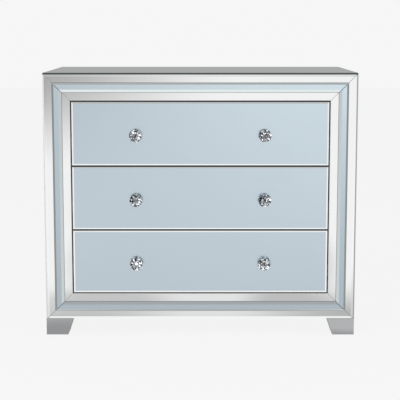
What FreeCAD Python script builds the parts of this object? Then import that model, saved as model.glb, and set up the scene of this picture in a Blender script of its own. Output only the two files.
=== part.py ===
import FreeCAD, Part
import math
import os
import re
import Sketcher

# A three-drawer chest clad in mirror glass, in millimetres.
# +Z is up, the front faces -Y, and the origin lies on the floor under the middle of the whole chest,
# knobs included.

Vector = FreeCAD.Vector
Rotation = FreeCAD.Rotation

DRAWERS = ("lower", "middle", "upper")
BALLS_PER_ROW = 4
KNOB_SIDES = 8

# Driving sizes: name in the sheet, size, and what it measures.
SIZES = (
    ("width", 914.0, "case over the side mirrors"),
    ("depth", 508.0, "case from the front bands to the back board, without the knobs"),
    ("height", 777.0, "floor to the face of the top mirror"),
    ("foot_height", 51.0, "floor to the underside of the case, glides included"),
    ("board", 18.0, "thickness of the case boards and the face frame"),
    ("back_board", 6.0, "thickness of the back board"),
    ("liner_board", 15.0, "thickness of the boards that carry the runners"),
    ("rail_height", 16.0, "thickness of the rails between the drawers"),
    ("rail_depth", 60.0, "front to back of those rails"),
    ("side_glass", 4.0, "thickness of the side mirrors and the foot mirrors"),
    ("top_glass", 5.0, "thickness of the top mirror"),
    ("band_glass", 4.0, "thickness of the two flat mirror bands"),
    ("raised_glass", 6.0, "thickness of the raised mirror band, which stands proud by this"),
    ("outer_band", 24.0, "width of the outer mirror band"),
    ("raised_band", 27.0, "width of the raised mirror band"),
    ("inner_band", 24.5, "width of the inner mirror band"),
    ("glass_arris", 1.2, "polished edge of the flat mirrors"),
    ("outer_bevel", 6.0, "width of the bevel along the outer edge of the outer band"),
    ("outer_bevel_fall", 0.8, "how far that bevel falls back"),
    ("raised_outer_bevel", 5.0, "width of the bevel along the outer edge of the raised band"),
    ("raised_outer_fall", 3.5, "how far that bevel falls back"),
    ("raised_inner_bevel", 8.0, "width of the bevel along the inner edge of the raised band"),
    ("raised_inner_fall", 5.0, "how far that bevel falls back"),
    ("mitre_arris", 0.8, "polished edge across the bands at their mitres"),
    ("top_corner", 5.0, "radius of the front corners of the top mirror"),
    ("drawer_gap", 3.5, "gap round each drawer front"),
    ("stop_gap", 1.5, "room between a drawer front and the rails behind it"),
    ("drawer_glass", 5.0, "thickness of a drawer mirror"),
    ("drawer_bevel", 4.5, "width of the bevel round a drawer mirror"),
    ("drawer_bevel_fall", 1.2, "how far that bevel falls back"),
    ("drawer_front", 18.0, "thickness of the board behind a drawer mirror"),
    ("box_lift", 14.0, "drawer box above the lower edge of its front"),
    ("box_head_gap", 21.0, "drawer box below the upper edge of its front"),
    ("box_rear_gap", 29.0, "free room behind a drawer box"),
    ("box_side", 12.0, "thickness of a drawer side"),
    ("box_back", 12.0, "thickness of a drawer back"),
    ("box_bottom", 5.0, "thickness of a drawer bottom"),
    ("groove_lift", 10.0, "groove for the bottom above the lower edge of the box"),
    ("groove_depth", 6.0, "depth of that groove"),
    ("groove_slack", 0.2, "play of the bottom in its groove"),
    ("runner_gap", 12.0, "room for a runner beside the drawer box"),
    ("runner_lift", 62.0, "middle of a runner above the lower edge of the drawer front"),
    ("runner_steel", 1.2, "thickness of a runner's sheet steel"),
    ("outer_runner", 35.0, "height of the fixed runner member"),
    ("inner_runner", 25.0, "height of the moving runner member"),
    ("cage_length", 80.0, "length of a ball cage"),
    ("cage_arm", 8.0, "depth of a ball cage's two arms"),
    ("cage_steel", 0.7, "thickness of a ball cage"),
    ("running_gap", 0.3, "clearance of the balls and the cage in the runner"),
    ("knob_spacing", 376.0, "between the two knobs of a drawer"),
    ("knob_drop", 5.0, "middle of a knob below the middle of its drawer front"),
    ("knob_diameter", 37.0, "widest part of a crystal knob"),
    ("knob_length", 18.0, "crystal from its seat to its front facet"),
    ("knob_table", 19.5, "front facet across its corners"),
    ("knob_crown", 29.2, "ring of facet corners in front of the widest part"),
    ("knob_crown_fall", 2.4, "front facet to that ring"),
    ("knob_girdle_fall", 5.5, "front facet to the widest part"),
    ("knob_girdle", 1.5, "length of the widest part"),
    ("knob_pavilion", 25.3, "ring of facet corners behind the widest part"),
    ("knob_pavilion_rise", 4.6, "seat to that ring"),
    ("knob_seat", 11.0, "seat of the crystal across its corners"),
    ("base_length", 6.0, "knob base from the glass to the crystal"),
    ("base_flange", 18.0, "diameter of a knob base on the glass"),
    ("base_flange_height", 1.5, "thickness of that flange"),
    ("base_neck", 10.0, "narrowest diameter of a knob base"),
    ("base_cup", 12.5, "diameter of a knob base at the crystal"),
    ("base_rim", 1.6, "width of the rim that the crystal sits on"),
    ("base_dish", 0.8, "depth of the dish inside that rim"),
    ("screw_slack", 0.1, "play of a screw's shank in its hole, to each side"),
    ("knob_screw", 4.0, "diameter of a knob screw"),
    ("knob_screw_head", 8.5, "diameter of its head"),
    ("knob_screw_head_height", 2.8, "height of its head"),
    ("knob_screw_bite", 4.2, "its length in the knob base"),
    ("runner_screw", 3.5, "diameter of a runner screw"),
    ("runner_screw_head", 7.0, "diameter of its head"),
    ("runner_screw_head_height", 2.2, "height of its head"),
    ("runner_screw_bite", 9.0, "its length in the wood"),
    ("runner_screw_inset", 11.0, "from a runner's end to its screw"),
    ("back_screw", 3.5, "diameter of a back-board screw"),
    ("back_screw_head", 7.0, "diameter of its head, sunk in the back board"),
    ("back_screw_head_height", 2.0, "height of its head"),
    ("back_screw_bite", 24.0, "its length in the case boards"),
    ("back_screw_inset", 60.0, "from a side board's ends to its first screw"),
    ("back_screw_spacing", 300.0, "between the screws along the top and the bottom"),
    ("foot_top", 80.0, "width of a foot under the case"),
    ("foot_bottom", 64.0, "width of a foot at the floor"),
    ("foot_bolt", 8.0, "diameter of a foot bolt"),
    ("foot_bolt_head", 14.0, "diameter of its head"),
    ("foot_bolt_head_height", 5.5, "height of its head"),
    ("foot_bolt_bite", 28.0, "its length in the foot"),
    ("foot_bolt_inset", 30.0, "bolt and glide from the foot core's outer faces"),
    ("glide", 22.0, "diameter of a glide"),
    ("glide_height", 1.5, "height of a glide"),
    ("anchor_hole", 4.0, "diameter of the wall-anchor holes in the back"),
    ("anchor_spacing", 600.0, "between the wall-anchor holes"),
    ("anchor_depth", 30.0, "depth of a wall-anchor hole in the top board"),
)

# Sizes and places that follow from the driving sizes.
DERIVED = {
    "front": "(base_length + knob_length - depth) / 2",
    "rear": "front + depth",
    "frame_back": "front + band_glass + board",
    "case_rear": "rear - back_board",
    "case_half": "width / 2 - side_glass",
    "case_top": "height - top_glass",
    "case_floor": "foot_height + board",
    "case_ceiling": "case_top - board",
    "bands": "outer_band + raised_band + inner_band",
    "opening_half": "case_half - bands",
    "opening_bottom": "foot_height + bands",
    "opening_top": "case_top - bands",
    "front_height": f"(opening_top - opening_bottom - {len(DRAWERS) + 1} * drawer_gap) / {len(DRAWERS)}",
    "front_pitch": "front_height + drawer_gap",
    "knob_height": "front_height / 2 - knob_drop",
    "front_half": "opening_half - drawer_gap",
    "board_front": "front + drawer_glass",
    "box_front": "board_front + drawer_front",
    "box_rear": "case_rear - box_rear_gap",
    "box_length": "box_rear - box_front",
    "box_middle": "(box_front + box_rear) / 2",
    "box_half": "opening_half - runner_gap",
    "groove_half": "box_half - box_side + groove_depth",
    "runner_screw_reach": "box_length / 2 - runner_screw_inset",
    "outer_runner_depth": "runner_gap - runner_steel - running_gap",
    "cage_web": "runner_steel + running_gap",
    "inner_runner_start": "cage_web + cage_steel + running_gap",
    "race_outer": "outer_runner / 2 - runner_steel",
    "race_inner": "inner_runner / 2",
    "race_middle": "(race_outer + race_inner) / 2",
    "ball_radius": "(race_outer - race_inner) / 2 - running_gap",
    "core_top": "foot_top - side_glass",
    "core_bottom": "foot_bottom - side_glass",
    "foot_rise": "foot_height - glide_height",
    "back_screw_level": "board / 2",
    "side_screw_half": "case_half - board / 2",
    "foot_bolt_half": "case_half - foot_bolt_inset",
    "foot_bolt_front": "front + side_glass + foot_bolt_inset",
    "foot_bolt_rear": "rear - foot_bolt_inset",
}

WORD = re.compile(r"[a-z][a-z_]*")
UP = Vector(0, 0, 1)
TOLERANCE = 1e-6

doc = FreeCAD.newDocument("mirrored_chest")
sheet = doc.addObject("Spreadsheet::Sheet", "Sizes")
pieces = []


def fill_sheet():
    """Write the driving sizes into the sheet, each under its own name."""
    for row, (name, size, meaning) in enumerate(SIZES, start=1):
        sheet.set(f"A{row}", name)
        sheet.set(f"B{row}", str(size))
        sheet.setAlias(f"B{row}", name)
        sheet.set(f"C{row}", meaning)
    doc.recompute()


def formula(text):
    """Spell out derived names and point the driving names at the sheet."""
    def spell(match):
        name = match.group(0)
        if name in DERIVED:
            return "(" + formula(DERIVED[name]) + ")"
        return "Sizes." + name
    return WORD.sub(spell, text)


def bind(thing, **sizes):
    """Tie properties of an object to formulas."""
    for name, text in sizes.items():
        thing.setExpression(name, formula(text))


def bind_place(thing, x, y, z):
    """Tie an object's place to three formulas."""
    for axis, text in zip("xyz", (x, y, z)):
        thing.setExpression(f"Placement.Base.{axis}", formula(text))


def keep(piece, label):
    """Name a finished sub-part and put it on the list that is written out."""
    piece.Label = label
    pieces.append(piece)
    return piece


def box(name, low, high):
    """A block between two opposite corners, each given as three formulas."""
    block = doc.addObject("Part::Box", name)
    spans = [f"({end}) - ({start})" for start, end in zip(low, high)]
    bind(block, Length=spans[0], Width=spans[1], Height=spans[2])
    bind_place(block, *low)
    return block


def cylinder(name, diameter, length, place, direction=UP, slack="0"):
    """A round bar that starts at a place and runs along a direction."""
    bar = doc.addObject("Part::Cylinder", name)
    bar.Placement = FreeCAD.Placement(Vector(), Rotation(UP, direction))
    bind(bar, Radius=f"({diameter}) / 2 + {slack}", Height=length)
    bind_place(bar, *place)
    return bar


def cone(name, start_diameter, end_diameter, length, level):
    """A tapered round piece that rises along Z from a level."""
    taper = doc.addObject("Part::Cone", name)
    bind(taper, Radius1=f"({start_diameter}) / 2", Radius2=f"({end_diameter}) / 2", Height=length)
    bind_place(taper, "0", "0", level)
    return taper


def wedge(name, bottom_x, top_x, bottom_y, top_y, place):
    """A block of foot height that tapers upwards, each pair being start and end along X or Y."""
    block = doc.addObject("Part::Wedge", name)
    block.Placement = FreeCAD.Placement(Vector(), Rotation(Vector(1, 0, 0), 90))
    bind(block, Ymin="0", Ymax="foot_rise")
    bind(block, Xmin=bottom_x[0], Xmax=bottom_x[1], X2min=top_x[0], X2max=top_x[1])
    bind(block, Zmin=f"-({bottom_y[1]})", Zmax=f"-({bottom_y[0]})")
    bind(block, Z2min=f"-({top_y[1]})", Z2max=f"-({top_y[0]})")
    bind_place(block, *place)
    return block


def group(name, members):
    """Several separate solids in one sub-part."""
    compound = doc.addObject("Part::Compound", name)
    compound.Links = members
    return compound


def fuse(name, members):
    union = doc.addObject("Part::MultiFuse", name)
    union.Shapes = members
    return union


def cut(name, base, tools):
    """A base with every tool taken out of it."""
    result = doc.addObject("Part::Cut", name)
    result.Base = base
    result.Tool = tools[0] if len(tools) == 1 else group(name + "_tools", tools)
    return result


def mirrored(name, source):
    """The right-hand twin of a left-hand piece."""
    twin = doc.addObject("Part::Mirroring", name)
    twin.Source = source
    twin.Normal = Vector(1, 0, 0)
    return twin


def place_copy(name, master, place, rotation):
    """A copy of a piece that is made once and used many times."""
    copy = doc.addObject("App::Link", name)
    copy.LinkedObject = master
    copy.Placement = FreeCAD.Placement(Vector(), rotation)
    bind_place(copy, *place)
    return copy


def origin_plane(body, role):
    return next(plane for plane in body.Origin.OriginFeatures if plane.Role == role)


def same(first, second):
    return abs(first - second) < TOLERANCE


def edge_names(shape, test):
    """Names of the edges whose every end point passes a test."""
    return [
        f"Edge{number}"
        for number, edge in enumerate(shape.Edges, start=1)
        if all(test(corner.Point) for corner in edge.Vertexes)
    ]


def chamfer(body, name, edges, width, fall=None, flip=False):
    """Take a bevel off the named edges of a body's last feature: even, or with its own fall down the side.
    Flip is for an edge whose side comes before its face."""
    bevel = body.newObject("PartDesign::Chamfer", name)
    bevel.Base = (body.Group[-2], edges)
    bind(bevel, Size=width)
    if fall:
        bevel.ChamferType = "Two distances"
        bevel.FlipDirection = flip
        bind(bevel, Size2=fall)
    doc.recompute()
    return bevel


def round_off(body, name, edges, radius):
    """Round the named edges of a body's last feature."""
    corner = body.newObject("PartDesign::Fillet", name)
    corner.Base = (body.Group[-2], edges)
    bind(corner, Radius=radius)
    doc.recompute()
    return corner


# The side of the picture frame: turn of its own axes, middle of its outer edge, and outer length.
# Along its own axes a side runs along X, inwards along Y and forwards along Z.
FRAME_SIDES = {
    "top": (Rotation(Vector(-1, 0, 0), Vector(0, 0, -1), Vector(0, -1, 0)), "0", "case_top", "2 * case_half"),
    "bottom": (Rotation(Vector(1, 0, 0), UP, Vector(0, -1, 0)), "0", "foot_height", "2 * case_half"),
    "left": (
        Rotation(Vector(0, 0, -1), Vector(1, 0, 0), Vector(0, -1, 0)),
        "-case_half", "(case_top + foot_height) / 2", "case_top - foot_height",
    ),
    "right": (
        Rotation(UP, Vector(-1, 0, 0), Vector(0, -1, 0)),
        "case_half", "(case_top + foot_height) / 2", "case_top - foot_height",
    ),
}


def mitred_layer(body, name, span, near, far, level, thickness):
    """One mitred layer of a frame side, between two insets from the frame's outer edge."""
    sketch = body.newObject("Sketcher::SketchObject", name + "_outline")
    sketch.AttachmentSupport = (origin_plane(body, "XY_Plane"), [""])
    sketch.MapMode = "FlatFace"
    bind(sketch, **{"AttachmentOffset.Base.z": level})
    # A rough trapezium to begin with: the constraints below give it its sizes.
    corners = [Vector(-4, 1), Vector(4, 1), Vector(3, 2), Vector(-3, 2)]
    for start, end in zip(corners, corners[1:] + corners[:1]):
        sketch.addGeometry(Part.LineSegment(start, end))
    for line in range(len(corners)):
        sketch.addConstraint(Sketcher.Constraint("Coincident", line, 2, (line + 1) % len(corners), 1))
    sketch.addConstraint(Sketcher.Constraint("Symmetric", 0, 1, 0, 2, -2))
    sketch.addConstraint(Sketcher.Constraint("Symmetric", 2, 1, 2, 2, -2))
    measures = (
        ("near_length", Sketcher.Constraint("DistanceX", 0, 1, 0, 2, 8), f"{span} - 2 * ({near})"),
        ("far_length", Sketcher.Constraint("DistanceX", 2, 2, 2, 1, 6), f"{span} - 2 * ({far})"),
        ("near_inset", Sketcher.Constraint("DistanceY", -1, 1, 0, 2, 1), near),
        ("far_inset", Sketcher.Constraint("DistanceY", -1, 1, 2, 1, 2), far),
    )
    for label, constraint, text in measures:
        sketch.renameConstraint(sketch.addConstraint(constraint), label)
        bind(sketch, **{f"Constraints.{label}": text})
    pad = body.newObject("PartDesign::Pad", name + "_pad")
    pad.Profile = sketch
    bind(pad, Length=thickness)
    doc.recompute()
    return pad


def frame_side(name, side):
    """An empty body that lies along one side of the face frame, from its back face forwards."""
    rotation, x, z, span = FRAME_SIDES[side]
    body = doc.addObject("PartDesign::Body", name)
    body.Placement = FreeCAD.Placement(Vector(), rotation)
    bind_place(body, x, "frame_back", z)
    return body, span


def make_face_frame():
    """Mitred frame boards with a ridge along their middle that carries the raised mirrors."""
    members = {}
    for side in FRAME_SIDES:
        body, span = frame_side(f"face_frame_{side}", side)
        mitred_layer(body, f"frame_{side}", span, "0", "bands", "0", "board")
        mitred_layer(
            body, f"ridge_{side}", span, "outer_band", "outer_band + raised_band", "board", "band_glass"
        )
        members[side] = body
    keep(group("face_frame_rails", [members["top"], members["bottom"]]), "face_frame_rails")
    keep(group("face_frame_stiles", [members["left"], members["right"]]), "face_frame_stiles")


def make_band(kind, near, far, level, thickness, near_bevel, far_bevel):
    """Four mitred mirror strips. The bevels along their two long edges are given as width and fall."""
    for side in FRAME_SIDES:
        label = f"{kind}_mirror_{side}"
        body, span = frame_side(label, side)
        last = mitred_layer(body, label, span, near, far, level, thickness)
        room = last.Shape.BoundBox
        for edge, place, (width, fall), flip in (
            ("near", room.YMin, near_bevel, True), ("far", room.YMax, far_bevel, False),
        ):
            long_edges = edge_names(
                last.Shape, lambda point: same(point.z, room.ZMax) and same(point.y, place)
            )
            last = chamfer(body, f"{label}_{edge}_bevel", long_edges, width, fall, flip)
        mitre_edges = []
        for hand in (-1, 1):
            mitre_edges += edge_names(
                last.Shape,
                lambda point: point.z > room.ZMin + TOLERANCE
                and same(hand * point.x + point.y, room.XMax + room.YMin),
            )
        chamfer(body, label + "_arris", mitre_edges, "mitre_arris")
        keep(body, label)


def make_bands():
    """The flat outer band, the raised band on the frame's ridge and the flat inner band."""
    arris = ("glass_arris", "glass_arris")
    outer_slope = ("outer_bevel", "outer_bevel_fall")
    raised_outer = ("raised_outer_bevel", "raised_outer_fall")
    raised_inner = ("raised_inner_bevel", "raised_inner_fall")
    raised_start = "outer_band"
    raised_end = "outer_band + raised_band"
    make_band("outer", "0", raised_start, "board", "band_glass", outer_slope, arris)
    make_band(
        "raised", raised_start, raised_end, "board + band_glass", "raised_glass", raised_outer, raised_inner
    )
    make_band("inner", raised_end, "bands", "board", "band_glass", arris, arris)


def glass_plate(label, low, high, axis, forwards, corner=None):
    """A flat mirror whose outward face, the last or first along an axis, has polished edges. A corner is the
    radius of its two upright front edges."""
    body = doc.addObject("PartDesign::Body", label)
    slab = body.newObject("PartDesign::AdditiveBox", label + "_slab")
    spans = [f"({end}) - ({start})" for start, end in zip(low, high)]
    bind(slab, Length=spans[0], Width=spans[1], Height=spans[2])
    bind_place(body, *low)
    doc.recompute()
    last = slab
    room = slab.Shape.BoundBox
    if corner:
        upright = []
        for end in (room.XMin, room.XMax):
            upright += edge_names(slab.Shape, lambda point: same(point.x, end) and same(point.y, room.YMin))
        last = round_off(body, label + "_corner", upright, corner)
    face = getattr(room, f"{axis.upper()}Max") if forwards else getattr(room, f"{axis.upper()}Min")
    edges = edge_names(last.Shape, lambda point: same(getattr(point, axis), face))
    chamfer(body, label + "_arris", edges, "glass_arris")
    return keep(body, label)


def make_case_mirrors():
    half = "width / 2"
    glass_plate(
        "top_mirror", (f"-{half}", "front", "case_top"), (half, "rear", "height"), "z", True, "top_corner"
    )
    glass_plate(
        "side_mirror_left",
        (f"-{half}", "front", "foot_height"), ("-case_half", "rear", "case_top"), "x", False,
    )
    glass_plate(
        "side_mirror_right",
        ("case_half", "front", "foot_height"), (half, "rear", "case_top"), "x", True,
    )


def screw(name, diameter, head, head_height, length):
    """A screw along Z: its head lies below zero and its shank runs upwards, with a slot across the head."""
    shank = cylinder(name + "_shank", diameter, length, ("0", "0", "0"))
    cap = cylinder(name + "_cap", head, head_height, ("0", "0", f"-({head_height})"))
    slot = box(
        name + "_slot",
        (f"-({head}) / 2", f"-({head_height}) / 4", f"-({head_height})"),
        (f"({head}) / 2", f"({head_height}) / 4", f"-({head_height}) / 2"),
    )
    return cut(name, fuse(name + "_blank", [shank, cap]), [slot])


def back_screw_places():
    """Where the back board is screwed to the side, top and bottom boards, by board."""
    side_levels = (
        "foot_height + back_screw_inset",
        "(foot_height + case_top) / 2",
        "case_top - back_screw_inset",
    )
    across = ("-back_screw_spacing / 2", "back_screw_spacing / 2")
    return {
        "left": [("-side_screw_half", level) for level in side_levels],
        "right": [("side_screw_half", level) for level in side_levels],
        "top": [(x, "case_top - back_screw_level") for x in across],
        "bottom": [(x, "foot_height + back_screw_level") for x in across],
    }


def back_screw_pilots(board):
    """Holes for the back screws in the rear edge of a case board."""
    return [
        cylinder(
            f"back_pilot_{board}_{number}", "back_screw", "back_screw_bite + screw_slack",
            (x, "case_rear", z), Vector(0, -1, 0), "screw_slack",
        )
        for number, (x, z) in enumerate(back_screw_places()[board])
    ]


def anchor_holes(name, start, length):
    """The pair of wall-anchor holes, from a depth forwards."""
    return [
        cylinder(
            f"{name}_{hand}", "anchor_hole", length,
            (x, start, "case_top - back_screw_level"), Vector(0, -1, 0),
        )
        for hand, x in (("left", "-anchor_spacing / 2"), ("right", "anchor_spacing / 2"))
    ]


def foot_bolt_places():
    return [
        (x, y)
        for x in ("-foot_bolt_half", "foot_bolt_half")
        for y in ("foot_bolt_front", "foot_bolt_rear")
    ]


def drawer_base(number):
    """Lower edge of a drawer front."""
    return f"(opening_bottom + drawer_gap + {number} * front_pitch)"


def runner_level(number):
    return f"{drawer_base(number)} + runner_lift"


def make_case_boards():
    """Side, top, bottom and back boards, and the liners that carry the runners."""
    side = box(
        "side_board",
        ("-case_half", "frame_back", "foot_height"),
        ("board - case_half", "case_rear", "case_ceiling"),
    )
    left = cut("side_panel_left", side, back_screw_pilots("left"))
    keep(left, "side_panel_left")
    keep(mirrored("side_panel_right", left), "side_panel_right")

    top = box(
        "top_board", ("-case_half", "frame_back", "case_ceiling"), ("case_half", "case_rear", "case_top")
    )
    top_holes = back_screw_pilots("top") + anchor_holes("top_anchor", "case_rear", "anchor_depth")
    keep(cut("top_panel", top, top_holes), "top_panel")

    bottom = box(
        "bottom_board",
        ("board - case_half", "frame_back", "foot_height"),
        ("case_half - board", "case_rear", "case_floor"),
    )
    bolt_holes = [
        cylinder(f"bottom_bolt_hole_{number}", "foot_bolt", "board", (x, y, "foot_height"), UP, "screw_slack")
        for number, (x, y) in enumerate(foot_bolt_places())
    ]
    keep(cut("bottom_panel", bottom, back_screw_pilots("bottom") + bolt_holes), "bottom_panel")

    liner = box(
        "liner_blank",
        ("-opening_half - liner_board", "frame_back", "case_floor"),
        ("-opening_half", "case_rear", "case_ceiling"),
    )
    pilots = [
        cylinder(
            f"liner_pilot_{number}_{end}", "runner_screw", "runner_screw_bite + screw_slack",
            ("-opening_half", f"box_middle {end} runner_screw_reach", runner_level(number)),
            Vector(-1, 0, 0), "screw_slack",
        )
        for number in range(len(DRAWERS))
        for end in "-+"
    ]
    left_liner = cut("runner_panel_left", liner, pilots)
    keep(left_liner, "runner_panel_left")
    keep(mirrored("runner_panel_right", left_liner), "runner_panel_right")

    rails = []
    for number in range(1, len(DRAWERS)):
        middle = f"{drawer_base(number)} - drawer_gap / 2"
        rails.append(box(
            f"drawer_rail_{number}",
            ("-opening_half", "box_front + stop_gap", f"{middle} - rail_height / 2"),
            ("opening_half", "box_front + stop_gap + rail_depth", f"{middle} + rail_height / 2"),
        ))
    keep(group("drawer_rails", rails), "drawer_rails")


def make_back_panel():
    """Back board with sunk screw holes and the pair of wall-anchor holes."""
    blank = box("back_blank", ("-case_half", "case_rear", "foot_height"), ("case_half", "rear", "case_top"))
    holes = anchor_holes("back_anchor", "rear", "back_board")
    for board, places in back_screw_places().items():
        for number, (x, z) in enumerate(places):
            name = f"back_hole_{board}_{number}"
            holes.append(cylinder(
                name, "back_screw", "back_board", (x, "rear", z), Vector(0, -1, 0), "screw_slack"
            ))
            holes.append(cylinder(
                name + "_sink", "back_screw_head", "back_screw_head_height",
                (x, "rear", z), Vector(0, -1, 0), "screw_slack",
            ))
    keep(cut("back_panel", blank, holes), "back_panel")


def make_feet():
    """Feet that taper on their two inner sides, with mirrors on their outer faces, and their glides."""
    full = ("0", "core_bottom"), ("0", "core_top")
    mirrors = []
    for end, place_y, taper_y, bolt_y in (
        ("front", "front + side_glass", full, "foot_bolt_front"),
        ("rear", "rear", (("-core_bottom", "0"), ("-core_top", "0")), "foot_bolt_rear"),
    ):
        core = wedge(
            f"foot_{end}_core", full[0], full[1], taper_y[0], taper_y[1],
            ("-case_half", place_y, "glide_height"),
        )
        hole = cylinder(
            f"foot_{end}_hole", "foot_bolt", "foot_bolt_bite + screw_slack",
            ("-foot_bolt_half", bolt_y, "foot_height"), Vector(0, 0, -1), "screw_slack",
        )
        left = cut(f"foot_{end}_left", core, [hole])
        keep(left, f"foot_{end}_left")
        keep(mirrored(f"foot_{end}_right", left), f"foot_{end}_right")
        mirrors.append(wedge(
            f"foot_{end}_side_mirror", ("-side_glass", "0"), ("-side_glass", "0"), taper_y[0], taper_y[1],
            ("-case_half", place_y, "glide_height"),
        ))
    mirrors.append(wedge(
        "foot_front_mirror", ("0", "foot_bottom"), ("0", "foot_top"), ("0", "side_glass"), ("0", "side_glass"),
        ("-width / 2", "front", "glide_height"),
    ))
    mirrors += [mirrored(mirror.Name + "_right", mirror) for mirror in mirrors]
    keep(group("foot_mirrors", mirrors), "foot_mirrors")
    glides = [
        cylinder(f"glide_{number}", "glide", "glide_height", (x, y, "0"))
        for number, (x, y) in enumerate(foot_bolt_places())
    ]
    keep(group("foot_glides", glides), "foot_glides")


def channel(name, start, end, web_at_start, height):
    """A C-shaped runner member along Y, between two depths from the liner's face, with a screw hole at
    each end of its web."""
    inner = f"({height}) / 2 - runner_steel"
    blank = box(
        name + "_blank",
        (start, "-box_length / 2", f"-({height}) / 2"), (end, "box_length / 2", f"({height}) / 2"),
    )
    hollow_start = f"({start}) + runner_steel" if web_at_start else start
    hollow_end = end if web_at_start else f"({end}) - runner_steel"
    tools = [box(
        name + "_hollow",
        (hollow_start, "-box_length / 2", f"-({inner})"), (hollow_end, "box_length / 2", inner),
    )]
    web = start if web_at_start else f"({end}) - runner_steel"
    for hand in "-+":
        tools.append(cylinder(
            f"{name}_hole_{hand}", "runner_screw", "runner_steel",
            (web, f"0 {hand} runner_screw_reach", "0"), Vector(1, 0, 0), "screw_slack",
        ))
    return cut(name, blank, tools)


def ball_cage(name):
    """A bent strip that holds a row of balls above and a row below the inner runner member."""
    half = "cage_length / 2"
    reach = "race_middle + cage_steel / 2"
    members = [box(
        name + "_web", ("cage_web", f"-{half}", f"-({reach})"), ("cage_web + cage_steel", half, reach)
    )]
    for row, sign in (("upper", "+"), ("lower", "-")):
        level = f"0 {sign} race_middle"
        members.append(box(
            f"{name}_{row}_arm",
            ("cage_web", f"-{half}", f"{level} - cage_steel / 2"),
            ("cage_web + cage_arm", half, f"{level} + cage_steel / 2"),
        ))
        for number in range(BALLS_PER_ROW):
            ball = doc.addObject("Part::Sphere", f"{name}_{row}_ball_{number}")
            bind(ball, Radius="ball_radius")
            step = (number + 0.5) / BALLS_PER_ROW - 0.5
            bind_place(ball, "cage_web + cage_arm / 2", f"{step} * cage_length", level)
            members.append(ball)
    return fuse(name, members)


def crystal(name):
    """A round-cut crystal: rings of corners joined by triangular facets, its seat at zero and +Z outwards."""
    def ring(diameter, level, count, turn):
        return [
            Vector(
                diameter / 2 * math.cos(2 * math.pi * (corner + turn) / count),
                diameter / 2 * math.sin(2 * math.pi * (corner + turn) / count),
                level,
            )
            for corner in range(count)
        ]

    def fan(flat, points, rim):
        """Facets from a flat facet's corners through a ring of points to a rim of twice as many corners."""
        count = len(flat)
        facets = [flat]
        for corner in range(count):
            following = (corner + 1) % count
            rim_near, rim_middle, rim_far = (rim[(2 * corner + step) % len(rim)] for step in range(3))
            point = points[corner]
            facets += [
                [flat[corner], flat[following], point],
                [flat[corner], point, rim_near],
                [flat[following], rim_far, point],
                [point, rim_middle, rim_near],
                [point, rim_far, rim_middle],
            ]
        return facets

    length = sheet.get("knob_length")
    widest = length - sheet.get("knob_girdle_fall")
    rim_front = ring(sheet.get("knob_diameter"), widest, 2 * KNOB_SIDES, 0)
    rim_rear = ring(sheet.get("knob_diameter"), widest - sheet.get("knob_girdle"), 2 * KNOB_SIDES, 0)
    facets = fan(
        ring(sheet.get("knob_table"), length, KNOB_SIDES, 0),
        ring(sheet.get("knob_crown"), length - sheet.get("knob_crown_fall"), KNOB_SIDES, 0.5),
        rim_front,
    )
    facets += fan(
        ring(sheet.get("knob_seat"), 0, KNOB_SIDES, 0),
        ring(sheet.get("knob_pavilion"), sheet.get("knob_pavilion_rise"), KNOB_SIDES, 0.5),
        rim_rear,
    )
    for corner in range(len(rim_front)):
        following = (corner + 1) % len(rim_front)
        facets.append([rim_front[corner], rim_front[following], rim_rear[following], rim_rear[corner]])
    faces = [Part.Face(Part.makePolygon(facet + facet[:1])) for facet in facets]
    solid = Part.Solid(Part.Shell(faces))
    if solid.Volume < 0:
        solid.reverse()
    stone = doc.addObject("Part::Feature", name)
    stone.Shape = solid
    return stone


def knob_base(name):
    """A turned base: flange on the glass, waisted neck and a dished cup for the crystal, bored for its screw."""
    waist = "(base_flange_height + base_length) / 2"
    members = [
        cylinder(name + "_flange", "base_flange", "base_flange_height", ("0", "0", "0")),
        cone(
            name + "_neck", "base_cup", "base_neck", f"{waist} - base_flange_height", "base_flange_height"
        ),
        cone(name + "_cup", "base_neck", "base_cup", f"base_length - {waist}", waist),
    ]
    bore = cylinder(
        name + "_bore", "knob_screw", "knob_screw_bite + screw_slack", ("0", "0", "0"), UP, "screw_slack"
    )
    dish = "base_cup - 2 * base_rim"
    hollow = cone(name + "_dish", f"{dish} - 2 * base_dish", dish, "base_dish", "base_length - base_dish")
    return cut(name, fuse(name + "_blank", members), [bore, hollow])


def make_masters():
    """The pieces that are made once and placed many times."""
    return {
        "outer_runner": channel("outer_runner_master", "0", "outer_runner_depth", True, "outer_runner"),
        "inner_runner": channel(
            "inner_runner_master", "inner_runner_start", "runner_gap", False, "inner_runner"
        ),
        "ball_cage": ball_cage("ball_cage_master"),
        "crystal": crystal("crystal_master"),
        "knob_base": knob_base("knob_base_master"),
        "knob_screw": screw(
            "knob_screw_master", "knob_screw", "knob_screw_head", "knob_screw_head_height",
            "drawer_front + drawer_glass + knob_screw_bite",
        ),
        "runner_screw": screw(
            "runner_screw_master", "runner_screw", "runner_screw_head", "runner_screw_head_height",
            "runner_steel + runner_screw_bite",
        ),
        "back_screw": screw(
            "back_screw_master", "back_screw", "back_screw_head", "back_screw_head_height",
            "back_board - back_screw_head_height + back_screw_bite",
        ),
        "foot_bolt": screw(
            "foot_bolt_master", "foot_bolt", "foot_bolt_head", "foot_bolt_head_height",
            "board + foot_bolt_bite",
        ),
    }


# The two hands of a runner: sign of its X and the turn that points its depth at the drawer.
RUNNER_HANDS = (
    ("left", "-", Rotation(UP, 0)),
    ("right", "", Rotation(UP, 180)),
)


def runner_copies(name, master, number):
    """A left and a right copy of a runner's piece beside one drawer."""
    return [
        place_copy(
            f"{name}_{hand}", master, (f"{sign}opening_half", "box_middle", runner_level(number)), turn
        )
        for hand, sign, turn in RUNNER_HANDS
    ]


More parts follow.
